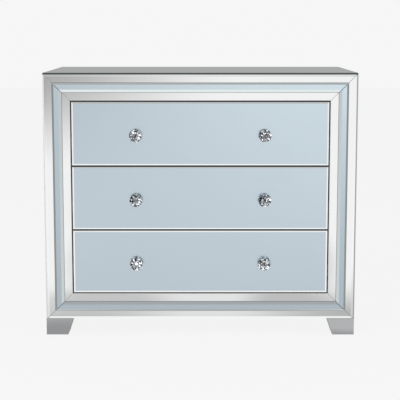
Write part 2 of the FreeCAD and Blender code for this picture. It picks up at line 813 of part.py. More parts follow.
def runner_screws(name, master, number, half, sign_of_drive):
    """Screws through both ends of both runner members of one drawer, seated at a distance from the middle."""
    screws = []
    for hand, sign, _ in RUNNER_HANDS:
        drive = Vector(sign_of_drive if sign else -sign_of_drive, 0, 0)
        for end in "-+":
            screws.append(place_copy(
                f"{name}_{hand}_{'front' if end == '-' else 'rear'}", master,
                (f"{sign}({half})", f"box_middle {end} runner_screw_reach", runner_level(number)),
                Rotation(UP, drive),
            ))
    return screws


def make_case_hardware(masters):
    """Fixed runner members and all screws of the case."""
    runners = []
    screws = []
    for number, drawer in enumerate(DRAWERS):
        runners += runner_copies(f"{drawer}_outer_runner", masters["outer_runner"], number)
        screws += runner_screws(
            f"{drawer}_outer_screw", masters["runner_screw"], number, "opening_half - runner_steel", -1
        )
    keep(group("runner_outers", runners), "runner_outers")
    for board, places in back_screw_places().items():
        for number, (x, z) in enumerate(places):
            screws.append(place_copy(
                f"back_screw_{board}_{number}", masters["back_screw"],
                (x, "rear - back_screw_head_height", z), Rotation(UP, Vector(0, -1, 0)),
            ))
    for number, (x, y) in enumerate(foot_bolt_places()):
        screws.append(place_copy(
            f"foot_bolt_{number}", masters["foot_bolt"],
            (x, y, "case_floor"), Rotation(UP, Vector(0, 0, -1)),
        ))
    keep(group("case_screws", screws), "case_screws")


def knob_holes(name, start, length):
    """Holes for the two knob screws of one drawer, from a depth backwards."""
    return [
        (f"{name}_{hand}", (f"{sign}knob_spacing / 2", start), length)
        for hand, sign in (("left", "-"), ("right", ""))
    ]


def make_drawer_mirror(label, base):
    """A drawer mirror with a bevel all round, bored for the knob screws."""
    body = doc.addObject("PartDesign::Body", label)
    bind_place(body, "0", "board_front", base)
    slab = body.newObject("PartDesign::AdditiveBox", label + "_slab")
    bind(slab, Length="2 * front_half", Width="drawer_glass - drawer_bevel_fall", Height="front_height")
    bind_place(slab, "-front_half", "drawer_bevel_fall - drawer_glass", "0")
    doc.recompute()
    face = body.newObject("PartDesign::AdditiveWedge", label + "_bevel")
    bind(face, Ymin="0", Ymax="drawer_bevel_fall")
    bind(face, Xmin="drawer_bevel - front_half", Xmax="front_half - drawer_bevel")
    bind(face, Zmin="drawer_bevel", Zmax="front_height - drawer_bevel")
    bind(face, X2min="-front_half", X2max="front_half", Z2min="0", Z2max="front_height")
    bind_place(face, "0", "-drawer_glass", "0")
    doc.recompute()
    for name, (x, _), length in knob_holes(label + "_hole", "0", "drawer_glass"):
        hole = body.newObject("PartDesign::SubtractiveCylinder", name)
        hole.Placement = FreeCAD.Placement(Vector(), Rotation(UP, Vector(0, 1, 0)))
        bind(hole, Radius="knob_screw / 2 + screw_slack", Height=length)
        bind_place(hole, x, f"-({length})", "knob_height")
        doc.recompute()
    keep(body, label)


def make_drawer_box(drawer, number):
    """Front board, sides, back and grooved-in bottom of one drawer."""
    base = drawer_base(number)
    box_low = f"{base} + box_lift"
    box_high = f"{base} + front_height - box_head_gap"
    groove_low = f"{box_low} + groove_lift"
    groove_high = f"{groove_low} + box_bottom + groove_slack"

    blank = box(
        f"{drawer}_front_blank",
        ("-front_half", "board_front", base), ("front_half", "box_front", f"{base} + front_height"),
    )
    tools = [box(
        f"{drawer}_front_groove",
        ("-groove_half", "box_front - groove_depth", groove_low), ("groove_half", "box_front", groove_high),
    )]
    for name, (x, y), length in knob_holes(f"{drawer}_front_hole", "board_front", "drawer_front"):
        tools.append(cylinder(
            name, "knob_screw", length, (x, y, f"{base} + knob_height"), Vector(0, 1, 0), "screw_slack"
        ))
    keep(cut(f"{drawer}_drawer_front", blank, tools), f"{drawer}_drawer_front")

    side_blank = box(
        f"{drawer}_side_blank",
        ("-box_half", "box_front", box_low), ("box_side - box_half", "box_rear", box_high),
    )
    side_tools = [box(
        f"{drawer}_side_groove",
        ("-groove_half", "box_front", groove_low), ("box_side - box_half", "box_rear", groove_high),
    )]
    for end in "-+":
        side_tools.append(cylinder(
            f"{drawer}_side_pilot_{end}", "runner_screw", "runner_screw_bite + screw_slack",
            ("-box_half", f"box_middle {end} runner_screw_reach", runner_level(number)),
            Vector(1, 0, 0), "screw_slack",
        ))
    left = cut(f"{drawer}_side_left", side_blank, side_tools)
    right = mirrored(f"{drawer}_side_right", left)
    keep(group(f"{drawer}_drawer_sides", [left, right]), f"{drawer}_drawer_sides")

    inner_half = "box_half - box_side"
    keep(box(
        f"{drawer}_drawer_back",
        (f"-({inner_half})", "box_rear - box_back", f"{groove_low} + box_bottom"),
        (inner_half, "box_rear", box_high),
    ), f"{drawer}_drawer_back")
    keep(box(
        f"{drawer}_drawer_bottom",
        ("groove_slack - groove_half", "box_front - groove_depth + groove_slack", groove_low),
        ("groove_half - groove_slack", "box_rear", f"{groove_low} + box_bottom"),
    ), f"{drawer}_drawer_bottom")


def make_drawer_hardware(drawer, number, masters):
    """Knobs, their bases and screws, and the moving runner members and ball cages of one drawer."""
    knob_level = f"{drawer_base(number)} + knob_height"
    outwards = Rotation(UP, Vector(0, -1, 0))
    crystals = []
    fittings = []
    for hand, x in (("left", "-knob_spacing / 2"), ("right", "knob_spacing / 2")):
        crystals.append(place_copy(
            f"{drawer}_crystal_{hand}", masters["crystal"], (x, "front - base_length", knob_level), outwards
        ))
        fittings.append(place_copy(
            f"{drawer}_knob_base_{hand}", masters["knob_base"], (x, "front", knob_level), outwards
        ))
        fittings.append(place_copy(
            f"{drawer}_knob_screw_{hand}", masters["knob_screw"], (x, "box_front", knob_level), outwards
        ))
    fittings += runner_screws(
        f"{drawer}_inner_screw", masters["runner_screw"], number, "box_half + runner_steel", 1
    )
    keep(group(f"{drawer}_drawer_knobs", crystals), f"{drawer}_drawer_knobs")
    keep(group(f"{drawer}_drawer_fittings", fittings), f"{drawer}_drawer_fittings")
    runners = runner_copies(f"{drawer}_inner_runner", masters["inner_runner"], number)
    keep(group(f"{drawer}_drawer_runners", runners), f"{drawer}_drawer_runners")
    cages = runner_copies(f"{drawer}_ball_cage", masters["ball_cage"], number)
    keep(group(f"{drawer}_ball_cages", cages), f"{drawer}_ball_cages")


def check_document():
    """Stop if any feature failed, or if a sub-part is empty or not valid."""
    for thing in doc.Objects:
        if "Invalid" in thing.State or "Error" in thing.State:
            raise RuntimeError(f"{thing.Label} failed: {thing.State}")
    for piece in pieces:
        shape = piece.Shape
        if shape.isNull() or not shape.isValid() or not shape.Solids:
            raise RuntimeError(f"{piece.Label} has no valid solid")


def write_parts():
    os.makedirs("parts", exist_ok=True)
    for piece in pieces:
        piece.Shape.exportStep(f"parts/{piece.Label}.step")


fill_sheet()
make_case_boards()
make_back_panel()
make_face_frame()
make_bands()
make_case_mirrors()
make_feet()
hardware = make_masters()
make_case_hardware(hardware)
for level, drawer_name in enumerate(DRAWERS):
    make_drawer_box(drawer_name, level)
    make_drawer_mirror(f"{drawer_name}_drawer_mirror", drawer_base(level))
    make_drawer_hardware(drawer_name, level, hardware)
doc.recompute()
check_document()
write_parts()
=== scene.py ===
"""Finishes, stage and camera for a mirror-clad chest of three drawers.

Sizes are metres in the chest's own frame: its front faces -Y, +X is to the right and +Z is up.
"""

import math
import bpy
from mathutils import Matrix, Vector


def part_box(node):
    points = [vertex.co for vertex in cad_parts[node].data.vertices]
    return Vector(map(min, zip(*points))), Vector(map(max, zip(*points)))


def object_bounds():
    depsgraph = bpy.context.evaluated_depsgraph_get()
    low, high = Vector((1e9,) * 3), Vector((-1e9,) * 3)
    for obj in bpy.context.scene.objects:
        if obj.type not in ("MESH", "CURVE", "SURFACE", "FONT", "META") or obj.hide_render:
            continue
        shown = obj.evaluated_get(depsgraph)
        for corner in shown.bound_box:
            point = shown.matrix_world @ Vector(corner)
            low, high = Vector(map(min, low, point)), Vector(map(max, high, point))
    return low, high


bl_info = {
    "name": "Mirrored Chest",
    "version": (1, 0, 0),
    "blender": (4, 5, 0),
    "location": "3D View > Sidebar > Chest",
    "description": "Finishes, stage and camera for a mirror-clad chest of three drawers",
    "category": "Object",
}

import bpy
from bpy.props import FloatProperty, FloatVectorProperty, PointerProperty
from bpy.types import Operator, Panel, PropertyGroup

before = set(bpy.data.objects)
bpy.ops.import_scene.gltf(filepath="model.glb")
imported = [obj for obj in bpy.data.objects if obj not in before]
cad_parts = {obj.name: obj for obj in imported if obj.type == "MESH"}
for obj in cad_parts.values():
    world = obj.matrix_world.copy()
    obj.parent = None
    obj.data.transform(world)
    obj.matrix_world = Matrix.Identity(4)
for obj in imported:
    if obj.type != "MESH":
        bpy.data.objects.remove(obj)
cad_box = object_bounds()

DRAWERS = ("lower", "middle", "upper")
SIDES = ("top", "bottom", "left", "right")
FRONT_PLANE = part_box("outer_mirror_top")[0].y

# Which way the silvered faces of a plate look: the other faces are its ground edges.
FACES_FRONT = (0.0, 1.0, 0.0)
FACES_UP = (0.0, 0.0, 1.0)
FACES_SIDE = (1.0, 0.0, 0.0)
FACES_CORNER = (1.0, 1.0, 0.0)

# How squarely a face looks that way, from 0 to 1: the least for silvered glass, the most for a plain bevel,
# and the least for a flat.
LEAST_SILVERED = 0.75
MOST_BEVELLED = 0.985
LEAST_FLAT = 0.998

# How much a face leans along X or Z, from 0 to 1: along both at a mitre cut, and along Z at a level bevel.
MITRE_LEAN = 0.3
LEVEL_BEVEL_LEAN = 0.1

# Roughness of polished glass and of its ground edges, what a smudge adds to it, and the gloss of the edges.
POLISH = 0.006
GROUND = 0.16
SMUDGE_BLUR = 0.02
EDGE_GLOSS = 0.1

# Width of the bevel round a drawer's pane, and how far it falls back.
DRAWER_BEVEL = 0.0045
DRAWER_BEVEL_FALL = 0.0012

# Depth and heights of a rim of painted gap shade that no pane reaches.
NO_GAP_SHADE = (1.0, 0.0, 0.0)

# How late the tone of the blue glass rises from the floor to the top, from painted shade to painted light:
# 1 is an even rise.
FLOOR_SHADE_RISE = 2.5

# How strongly the crystal bends light.
CRYSTAL_IOR = 1.6

# How deep the marks in a finish are.
ROLLING_DEPTH = 0.00002
RIPPLE_DEPTH = 0.00004
PIT_DEPTH = 0.00005
GRAIN_DEPTH = 0.00008
FIBRE_DEPTH = 0.0002

# Most of a noise lies between these two values.
NOISE_LOW = 0.3
NOISE_HIGH = 0.7

# Where the lamps stand from the chest's middle, and how wide they are, in diagonals of the chest.
KEY_PLACE = (-1.2, -1.6, 1.7)
FILL_PLACE = (1.6, -1.3, 0.9)
LAMP_WIDTH = 1.2

# What the cut crystal breaks up the studio into: how densely small lights fill it, and the brightness
# between and in them.
SPARKLE_LIGHTS = 4.0
SPARKLE_DARK = 0.02
SPARKLE_BRIGHT = 2.1

# What the mirrors see of the studio, from the middle of the chest. For each soft patch, in degrees: the
# azimuth of its middle from the front, the elevation of its middle, and its reach sideways and up. Then
# its brightness. Later patches lie over earlier ones.
STUDIO_BASE = 0.45
STUDIO_PATCHES = (
    ("ceiling", 0, 90, 400, 44, 0.70),
    ("ground", 0, -90, 400, 60, 0.97),
    ("under", 0, -90, 400, 16, 0.45),
    ("behind", 180, 8, 70, 34, 0.405),
    ("front", 0, -20, 95, 52, 0.945),
    ("low", 0, -16.5, 9, 8, 0.79),
    ("dark_overhead", 0, 38, 90, 12, 0.15),
    ("overhead", 0, 58, 120, 16, 0.45),
    ("above", 0, 17, 30, 5, 1.10),
    ("dark_left", -90, -5, 28, 44, 0.30),
    ("dark_right", 90, -5, 28, 44, 0.30),
    ("window_left", -58, 40, 12, 12, 3.0),
    ("window_right", 50, 36, 10, 12, 2.6),
    ("upper_left_far", -22, -0.5, 14, 6.3, 0.42),
    ("lower_left_far", -23, -15.0, 9, 3.4, 0.76),
    ("lower_right_far", 23, -15.0, 9, 4.0, 0.62),
    ("upper_far", -14, 14, 14, 9, 0.45),
    ("upper_left", -11.7, -0.5, 14.8, 6.8, 0.40),
    ("inner_left_low", -5.9, -11.5, 1.0, 2.0, 0.82),
    ("inner_right_low", 5.9, -11.5, 1.0, 2.0, 0.76),
    ("lower_left", -6.0, -14.9, 6.5, 2.9, 0.54),
    ("lower_right", 8.0, -14.9, 7.5, 3.0, 0.41),
    ("middle", -1.4, -8.6, 6.0, 4.5, 0.83),
    ("inner_left", -4.5, -13.0, 4.0, 0.75, 0.59),
    ("inner_right", 4.3, -13.0, 2.9, 0.75, 0.55),
    ("foot_left", -7.2, -14.6, 4.0, 1.0, 0.40),
    ("foot_right", 7.2, -14.1, 4.0, 0.55, 0.60),
)


# Settings


def colour(name, description, default):
    """A colour that a user may change."""
    return FloatVectorProperty(
        name=name, description=description, default=default, subtype="COLOR", size=3, min=0.0, max=1.0
    )


def length(name, description, default):
    """A length that a user may change."""
    return FloatProperty(
        name=name, description=description, default=default, subtype="DISTANCE", unit="LENGTH", min=0.0
    )


def angle(name, description, default):
    """An angle that a user may change."""
    return FloatProperty(
        name=name, description=description, default=default, subtype="ANGLE", unit="ROTATION"
    )


def share(name, description, default):
    """A share from none to all."""
    return FloatProperty(
        name=name, description=description, default=default, subtype="FACTOR", min=0.0, max=1.0
    )


def power(name, description, default):
    """The power of a lamp that a user may change."""
    return FloatProperty(name=name, description=description, default=default, unit="POWER", min=0.0)


class ChestFinishes(PropertyGroup):
    """Colours of the chest's glass, metal and boards."""

    silver: colour("Silver", "Plain silvered glass", (0.93, 0.935, 0.935))
    # Painted shade and light: the blue glass is given a darker colour near the floor and a lighter one near
    # the top.
    drawer_low: colour("Drawers, low", "Blue glass of the drawers, near the floor", (0.625, 0.722, 0.786))
    drawer_high: colour("Drawers, high", "Blue glass of the drawers, near the top", (0.702, 0.810, 0.882))
    strip_low: colour("Strips, low", "Blue glass of the strips, near the floor", (0.529, 0.610, 0.664))
    strip_high: colour("Strips, high", "Blue glass of the strips, near the top", (0.745, 0.860, 0.936))
    top: colour("Top", "Silvered glass of the top", (0.87, 0.935, 0.96))
    foot: colour("Feet", "Silvered glass of the feet", (0.72, 0.735, 0.75))
    bevel: colour("Bevels", "Thin polished bevels of the drawers and the bands", (0.965, 0.985, 0.99))
    raised_bevel: colour("Raised bevels", "Polished bevels of the raised strips", (0.80, 0.86, 0.88))
    outer_edge: colour("Outer edge", "Ground edges of the outer bands", (0.38, 0.38, 0.385))
    inner_edge: colour("Inner edge", "Ground edges of the inner bands", (0.45, 0.45, 0.455))
    glass_edge: colour("Glass edge", "Ground edges of strips, drawers and feet", (0.10, 0.10, 0.105))
    top_edge: colour("Top edge", "Ground edge of the top's glass", (0.055, 0.062, 0.062))
    # Painted light and shade: the same ground glass edge is made lighter on the left side and darker on the
    # right.
    left_edge: colour("Left edge", "Ground edges of the left side's glass", (0.66, 0.67, 0.67))
    right_edge: colour("Right edge", "Ground edges of the right side's glass", (0.32, 0.325, 0.33))
    crystal: colour("Crystal", "Bright facets of the knobs", (0.92, 0.955, 1.0))
    # Painted shade: the dark facets stand in for the dark that the crystal mirrors.
    crystal_dark: colour("Crystal, dark", "Dark facets of the knobs", (0.02, 0.021, 0.026))
    chrome: colour("Chrome", "Turned knob bases", (0.82, 0.83, 0.84))
    zinc: colour("Zinc", "Plated steel of the runners", (0.62, 0.63, 0.64))
    screw: colour("Screws", "Plated steel of the screws", (0.52, 0.51, 0.48))
    lacquer: colour("Lacquer", "Silver-grey lacquer of the case boards and feet", (0.36, 0.36, 0.355))
    front_lacquer: colour("Front lacquer", "Dark-grey lacquer of the drawer fronts", (0.07, 0.07, 0.073))
    hardboard: colour("Hardboard", "Grey-brown back board", (0.26, 0.235, 0.205))
    birch_light: colour("Birch, light", "Early wood of the drawer boxes", (0.72, 0.575, 0.39))
    birch_dark: colour("Birch, dark", "Late wood of the drawer boxes", (0.56, 0.41, 0.25))
    nylon: colour("Nylon", "Moulded glides under the feet", (0.045, 0.045, 0.047))


class ChestTextures(PropertyGroup):
    """Sizes and strengths of the marks on the chest's surfaces."""

    smudge: length("Smudges", "Usual size of a wiped smudge on the glass", 0.11)
    crystal_mark: length("Crystal marks", "Usual size of a finger mark on the crystal", 0.01375)
    base_mark: length("Base marks", "Usual size of a finger mark on the knob bases", 0.01833)
    # Painted shade: the drawers' bevels are darkened in a thin dull rim where two drawers meet, in the gap
    # between them.
    ground_rim: length("Ground rim", "Dull rim of the bevels where two drawers meet", 0.0008)
    satin: share("Satin", "How much the blue glass blurs what it mirrors", 0.22)
    haze: share("Haze", "How much a smudge dims the glass", 0.015)
    growth_ring: length("Growth ring", "Usual width of a growth ring on the birch", 0.011)
    fibre: length("Fibre", "Usual length of a fibre on the hardboard", 0.004)
    hardboard_mottle: length("Hardboard mottle", "Usual size of a dark place on the hardboard", 0.1)
    lacquer_ripple: length("Lacquer ripple", "Usual size of a ripple in the sprayed lacquer", 0.0035)
    nylon_pit: length("Nylon pits", "Usual size of a pit in the moulded nylon", 0.0007)
    rolling_line: length("Rolling line", "Usual width of a rolling line on the plated steel", 0.0012)


class ChestStage(PropertyGroup):
    """Camera, floor and light."""

    camera_distance: length("Camera distance", "Camera in front of the chest's front plane", 3.476)
    camera_side: FloatProperty(
        name="Camera side", description="Camera to the right of the chest's middle", default=-0.0008,
        subtype="DISTANCE", unit="LENGTH",
    )
    camera_height: length("Camera height", "Camera above the floor", 0.9133)
    camera_pitch: angle("Camera pitch", "How far the camera looks down", math.radians(8.30))
    focal_length: FloatProperty(
        name="Focal length", description="Lens of the camera, on a sensor 36 mm wide", default=107.9,
        unit="CAMERA",
    )
    floor_reach: length("Floor reach", "Floor from its middle to its edge", 14.0)
    backdrop: colour("Backdrop", "Floor and background as the camera sees them", (0.922, 0.922, 0.922))
    shadow: share("Shadow", "How much of the chest's shadow the floor shows", 0.04)
    plain_light: share("Plain light", "Even light from all round on the boards", 0.55)
    key_power: power("Key light", "Power of the large lamp at the upper left", 50.0)
    fill_power: power("Fill light", "Power of the large lamp at the right", 25.0)


# Node trees


def put(tree, socket, value):
    """Links a socket to another node's output, or sets it to a plain value."""
    if isinstance(value, bpy.types.NodeSocket):
        tree.links.new(value, socket)
    else:
        socket.default_value = value


def set_inputs(tree, node, values):
    """Links or sets the inputs of a node, which are named, or numbered where they share a name."""
    for name, value in values.items():
        put(tree, node.inputs[name], value)


def add(tree, kind, values=None, **settings):
    """Adds a node with its settings and its inputs."""
    node = tree.nodes.new(kind)
    for name, setting in settings.items():
        setattr(node, name, setting)
    set_inputs(tree, node, values or {})
    return node


def math_of(tree, operation, first, second=0.0):
    """The result of one operation on two values."""
    return add(tree, "ShaderNodeMath", {0: first, 1: second}, operation=operation).outputs[0]


def vector_of(tree, operation, first, second=(0.0, 0.0, 0.0)):
    """The result of one operation on two vectors."""
    return add(tree, "ShaderNodeVectorMath", {0: first, 1: second}, operation=operation).outputs[0]


def split(tree, vector):
    """The X, Y and Z of a vector."""
    return add(tree, "ShaderNodeSeparateXYZ", {"Vector": vector}).outputs


def place_on_piece(tree):
    """The place on a piece, in the chest's frame with the drawers closed."""
    return add(tree, "ShaderNodeTexCoord").outputs["Object"]


def noise(tree, place, pitch, detail=2.0, roughness=0.5, distortion=0.0):
    """Soft noise with about so many marks to a length of one."""
    values = {
        "Vector": place, "Scale": pitch, "Detail": detail, "Roughness": roughness, "Distortion": distortion,
    }
    return add(tree, "ShaderNodeTexNoise", values).outputs["Fac"]


def ramp(tree, value, low, high, start=0.0, end=1.0):
    """A smooth rise from start to end while a value goes from low to high."""
    node = add(
        tree, "ShaderNodeMapRange",
        {"Value": value, "From Min": low, "From Max": high, "To Min": start, "To Max": end},
        interpolation_type="SMOOTHSTEP",
    )
    return node.outputs["Result"]


def blend_colours(tree, amount, first, second, way="MIX"):
    """One colour over another, through the mix node's sockets for colours."""
    node = add(tree, "ShaderNodeMix", {0: amount, 6: first, 7: second}, data_type="RGBA", blend_type=way)
    return node.outputs[2]


def blend_values(tree, amount, first, second):
    """A value between two others, through the mix node's sockets for values."""
    return add(tree, "ShaderNodeMix", {0: amount, 2: first, 3: second}, data_type="FLOAT").outputs[0]


def grey(tree, level):
    """A colour with the same red, green and blue."""
    values = {"Red": level, "Green": level, "Blue": level}
    return add(tree, "ShaderNodeCombineColor", values).outputs["Color"]


def rgba(three):
    """A colour as a colour socket takes it."""
    return (*three, 1.0)


def new_group(name, inputs, outputs):
    """A shader node group with named sockets, and the sockets at its two ends."""
    tree = bpy.data.node_groups.new(name, "ShaderNodeTree")
    for end, sockets in (("INPUT", inputs), ("OUTPUT", outputs)):
        for socket, kind in sockets.items():
            tree.interface.new_socket(socket, in_out=end, socket_type=f"NodeSocket{kind}")
    return tree, add(tree, "NodeGroupInput").outputs, add(tree, "NodeGroupOutput").inputs


def use_group(tree, build, values, label=""):
    """Places a shared effect, which is built the first time, and gives its outputs."""
    group = bpy.data.node_groups.get(build.__name__) or build()
    return add(tree, "ShaderNodeGroup", values, node_tree=group, label=label).outputs


# Shared effects


def plate_faces():
    """Tells the bevels and the ground edges of a glass plate from its silvered faces, and counts the level
    bevels past the seam as edges, for painted shade where two drawers meet.
    """
    tree, given, result = new_group(
        "plate_faces",
        {"Faces": "Vector", "Seam depth": "Float", "Seam low": "Float", "Seam high": "Float"},
        {"Bevel": "Float", "Edge": "Float", "Silvered": "Float"},
    )
    surface = add(tree, "ShaderNodeTexCoord").outputs
    place = split(tree, surface["Object"])
    normal = vector_of(tree, "ABSOLUTE", surface["Normal"])
    lean = split(tree, normal)
    facing = split(tree, vector_of(tree, "MULTIPLY", normal, given["Faces"]))
    squarely = math_of(tree, "MAXIMUM", math_of(tree, "MAXIMUM", facing["X"], facing["Y"]), facing["Z"])
    mitre = math_of(tree, "GREATER_THAN", math_of(tree, "MINIMUM", lean["X"], lean["Z"]), MITRE_LEAN)
    # Painted shade: level bevels past the seam depth and between the seam heights count as ground edges,
    # and so take the dark edge colour where two drawers meet.
    seam = math_of(tree, "GREATER_THAN", lean["Z"], LEVEL_BEVEL_LEAN)
    for within in (
        math_of(tree, "GREATER_THAN", place["Y"], given["Seam depth"]),
        math_of(tree, "GREATER_THAN", place["Z"], given["Seam low"]),
        math_of(tree, "LESS_THAN", place["Z"], given["Seam high"]),
    ):
        seam = math_of(tree, "MULTIPLY", seam, within)
    edge = math_of(tree, "LESS_THAN", squarely, LEAST_SILVERED)
    for ground in (mitre, seam):
        edge = math_of(tree, "MAXIMUM", edge, ground)
    silvered = math_of(tree, "SUBTRACT", 1.0, edge)
    bevel = ramp(tree, squarely, MOST_BEVELLED, LEAST_FLAT, start=1.0, end=0.0)
    put(tree, result["Bevel"], math_of(tree, "MULTIPLY", silvered, bevel))
    put(tree, result["Edge"], edge)
    put(tree, result["Silvered"], silvered)
    return tree


def polish_marks():
    """Wiped smudges on a polished surface."""
    tree, given, result = new_group(
        "polish_marks",
        {"Size": "Float", "Clear": "Float", "Hazed": "Float"},
        {"Roughness": "Float", "Haze": "Float"},
    )
    wiped_sideways = (0.35, 1.0, 2.6)
    place = place_on_piece(tree)
    wiped = vector_of(tree, "MULTIPLY", place, wiped_sideways)
    pitch = math_of(tree, "DIVIDE", 1.0, given["Size"])
    smudge = ramp(tree, noise(tree, place, pitch, detail=4.0, roughness=0.6), low=0.42, high=0.72)
    streak = ramp(tree, noise(tree, wiped, pitch, detail=6.0, roughness=0.65), low=0.38, high=0.68)
    haze = math_of(tree, "MULTIPLY", smudge, streak)
    put(tree, result["Haze"], haze)
    put(tree, result["Roughness"], blend_values(tree, haze, given["Clear"], given["Hazed"]))
    return tree


def board_grain():
    """Growth rings and pores of birch, drawn out along the board."""
    tree, given, result = new_group(
        "board_grain",
        {"Stretch": "Vector", "Ring": "Float", "Light": "Color", "Dark": "Color"},
        {"Colour": "Color", "Height": "Float", "Roughness": "Float"},
    )
    pores_to_a_ring = 9.0
    pore_shade = 0.35
    pore_roughness = 0.62
    lacquer_roughness = 0.42
    ring_rise = 0.4
    drawn = vector_of(tree, "MULTIPLY", place_on_piece(tree), given["Stretch"])
    pitch = math_of(tree, "DIVIDE", 1.0, given["Ring"])
    pore_pitch = math_of(tree, "MULTIPLY", pitch, pores_to_a_ring)
    late = ramp(tree, noise(tree, drawn, pitch, detail=3.0, distortion=0.6), low=0.40, high=0.64)
    pores = ramp(tree, noise(tree, drawn, pore_pitch), low=0.56, high=0.70)
    tone = blend_colours(tree, late, given["Light"], given["Dark"])
    shade = math_of(tree, "MULTIPLY", pores, pore_shade)
    rise = math_of(tree, "MULTIPLY", late, ring_rise)
    put(tree, result["Colour"], blend_colours(tree, shade, tone, given["Dark"], "MULTIPLY"))
    put(tree, result["Height"], math_of(tree, "SUBTRACT", rise, pores))
    put(tree, result["Roughness"], blend_values(tree, pores, lacquer_roughness, pore_roughness))
    return tree


def sprayed_skin():
    """Ripple and slight mottling of sprayed lacquer."""
    tree, given, result = new_group(
        "sprayed_skin",
        {"Size": "Float", "Tone": "Color"},
        {"Colour": "Color", "Height": "Float", "Roughness": "Float"},
    )
    mottles_to_a_ripple = 0.04
    place = place_on_piece(tree)
    pitch = math_of(tree, "DIVIDE", 1.0, given["Size"])
    mottle = noise(tree, place, math_of(tree, "MULTIPLY", pitch, mottles_to_a_ripple), detail=4.0)
    shade = ramp(tree, mottle, NOISE_LOW, NOISE_HIGH, start=0.88, end=1.06)
    put(tree, result["Colour"], blend_colours(tree, 1.0, given["Tone"], grey(tree, shade), "MULTIPLY"))
    put(tree, result["Height"], noise(tree, place, pitch))
    put(tree, result["Roughness"], ramp(tree, mottle, NOISE_LOW, NOISE_HIGH, start=0.36, end=0.48))
    return tree


def rolled_lines():
    """Fine rolling lines along Y and faint spangle, as on plated sheet steel."""
    tree, given, result = new_group(
        "rolled_lines",
        {"Width": "Float", "Tone": "Color"},
        {"Colour": "Color", "Roughness": "Float", "Height": "Float"},
    )
    rolled_out = (1.0, 0.02, 1.0)
    spangles_to_a_line = 0.12
    spangle_strength = 0.08
    place = place_on_piece(tree)
    pitch = math_of(tree, "DIVIDE", 1.0, given["Width"])
    line = noise(tree, vector_of(tree, "MULTIPLY", place, rolled_out), pitch, detail=4.0)
    spangle_pitch = math_of(tree, "MULTIPLY", pitch, spangles_to_a_line)
    spangle = add(tree, "ShaderNodeTexVoronoi", {"Vector": place, "Scale": spangle_pitch}).outputs["Color"]
    tone = blend_colours(tree, spangle_strength, given["Tone"], spangle, "SOFT_LIGHT")
    put(tree, result["Colour"], tone)
    put(tree, result["Roughness"], ramp(tree, line, NOISE_LOW, NOISE_HIGH, start=0.24, end=0.42))
    put(tree, result["Height"], line)
    return tree


def painted_facet_shade():
    """A tone of its own for each facet of a cut stone, and for each stone: the dark facets are painted
    shade in place of the dark that real facets mirror.

    The front and the seat of a stone stay bright.
    """
    tree, given, result = new_group(
        "painted_facet_shade", {"Bright": "Color", "Dark": "Color"}, {"Colour": "Color"}
    )
    tone_pitch = 5.0
    least_flat = 0.95
    surface = add(tree, "ShaderNodeTexCoord").outputs
    seed = vector_of(tree, "ADD", surface["Normal"], surface["Object"])
    tone = ramp(tree, noise(tree, seed, tone_pitch, detail=0.0), low=0.36, high=0.44)
    along = math_of(tree, "ABSOLUTE", split(tree, surface["Normal"])["Y"])
    bright = math_of(tree, "MAXIMUM", tone, math_of(tree, "GREATER_THAN", along, least_flat))
    put(tree, result["Colour"], blend_colours(tree, bright, given["Dark"], given["Bright"]))
    return tree


def soft_patch():
    """A patch of the studio: full in its middle, and gone at its reach."""
    names = ("Azimuth", "Elevation", "Middle azimuth", "Middle elevation", "Wide", "High")
    tree, given, result = new_group("soft_patch", {name: "Float" for name in names}, {"Mask": "Float"})
    full_up_to = 0.3
    turned = math_of(tree, "SUBTRACT", given["Azimuth"], given["Middle azimuth"])
    turned = add(tree, "ShaderNodeMath", {0: turned, 1: math.pi, 2: -math.pi}, operation="WRAP").outputs[0]
    raised = math_of(tree, "SUBTRACT", given["Elevation"], given["Middle elevation"])
    across = math_of(tree, "DIVIDE", turned, given["Wide"])
    up = math_of(tree, "DIVIDE", raised, given["High"])
    squares = [math_of(tree, "MULTIPLY", way, way) for way in (across, up)]
    far = math_of(tree, "SQRT", math_of(tree, "ADD", *squares))
    put(tree, result["Mask"], ramp(tree, far, full_up_to, 1.0, start=1.0, end=0.0))
    return tree


# Materials


def new_material(name):
    """A plain material, its nodes and its shader."""
    material = bpy.data.materials.new(name)
    material.use_nodes = True
    return material, material.node_tree, material.node_tree.nodes["Principled BSDF"]


def bump(tree, height, depth, strength=0.5):
    """The normal of a surface that is raised a little by a height."""
    values = {"Height": height, "Distance": depth, "Strength": strength}
    return add(tree, "ShaderNodeBump", values).outputs["Normal"]


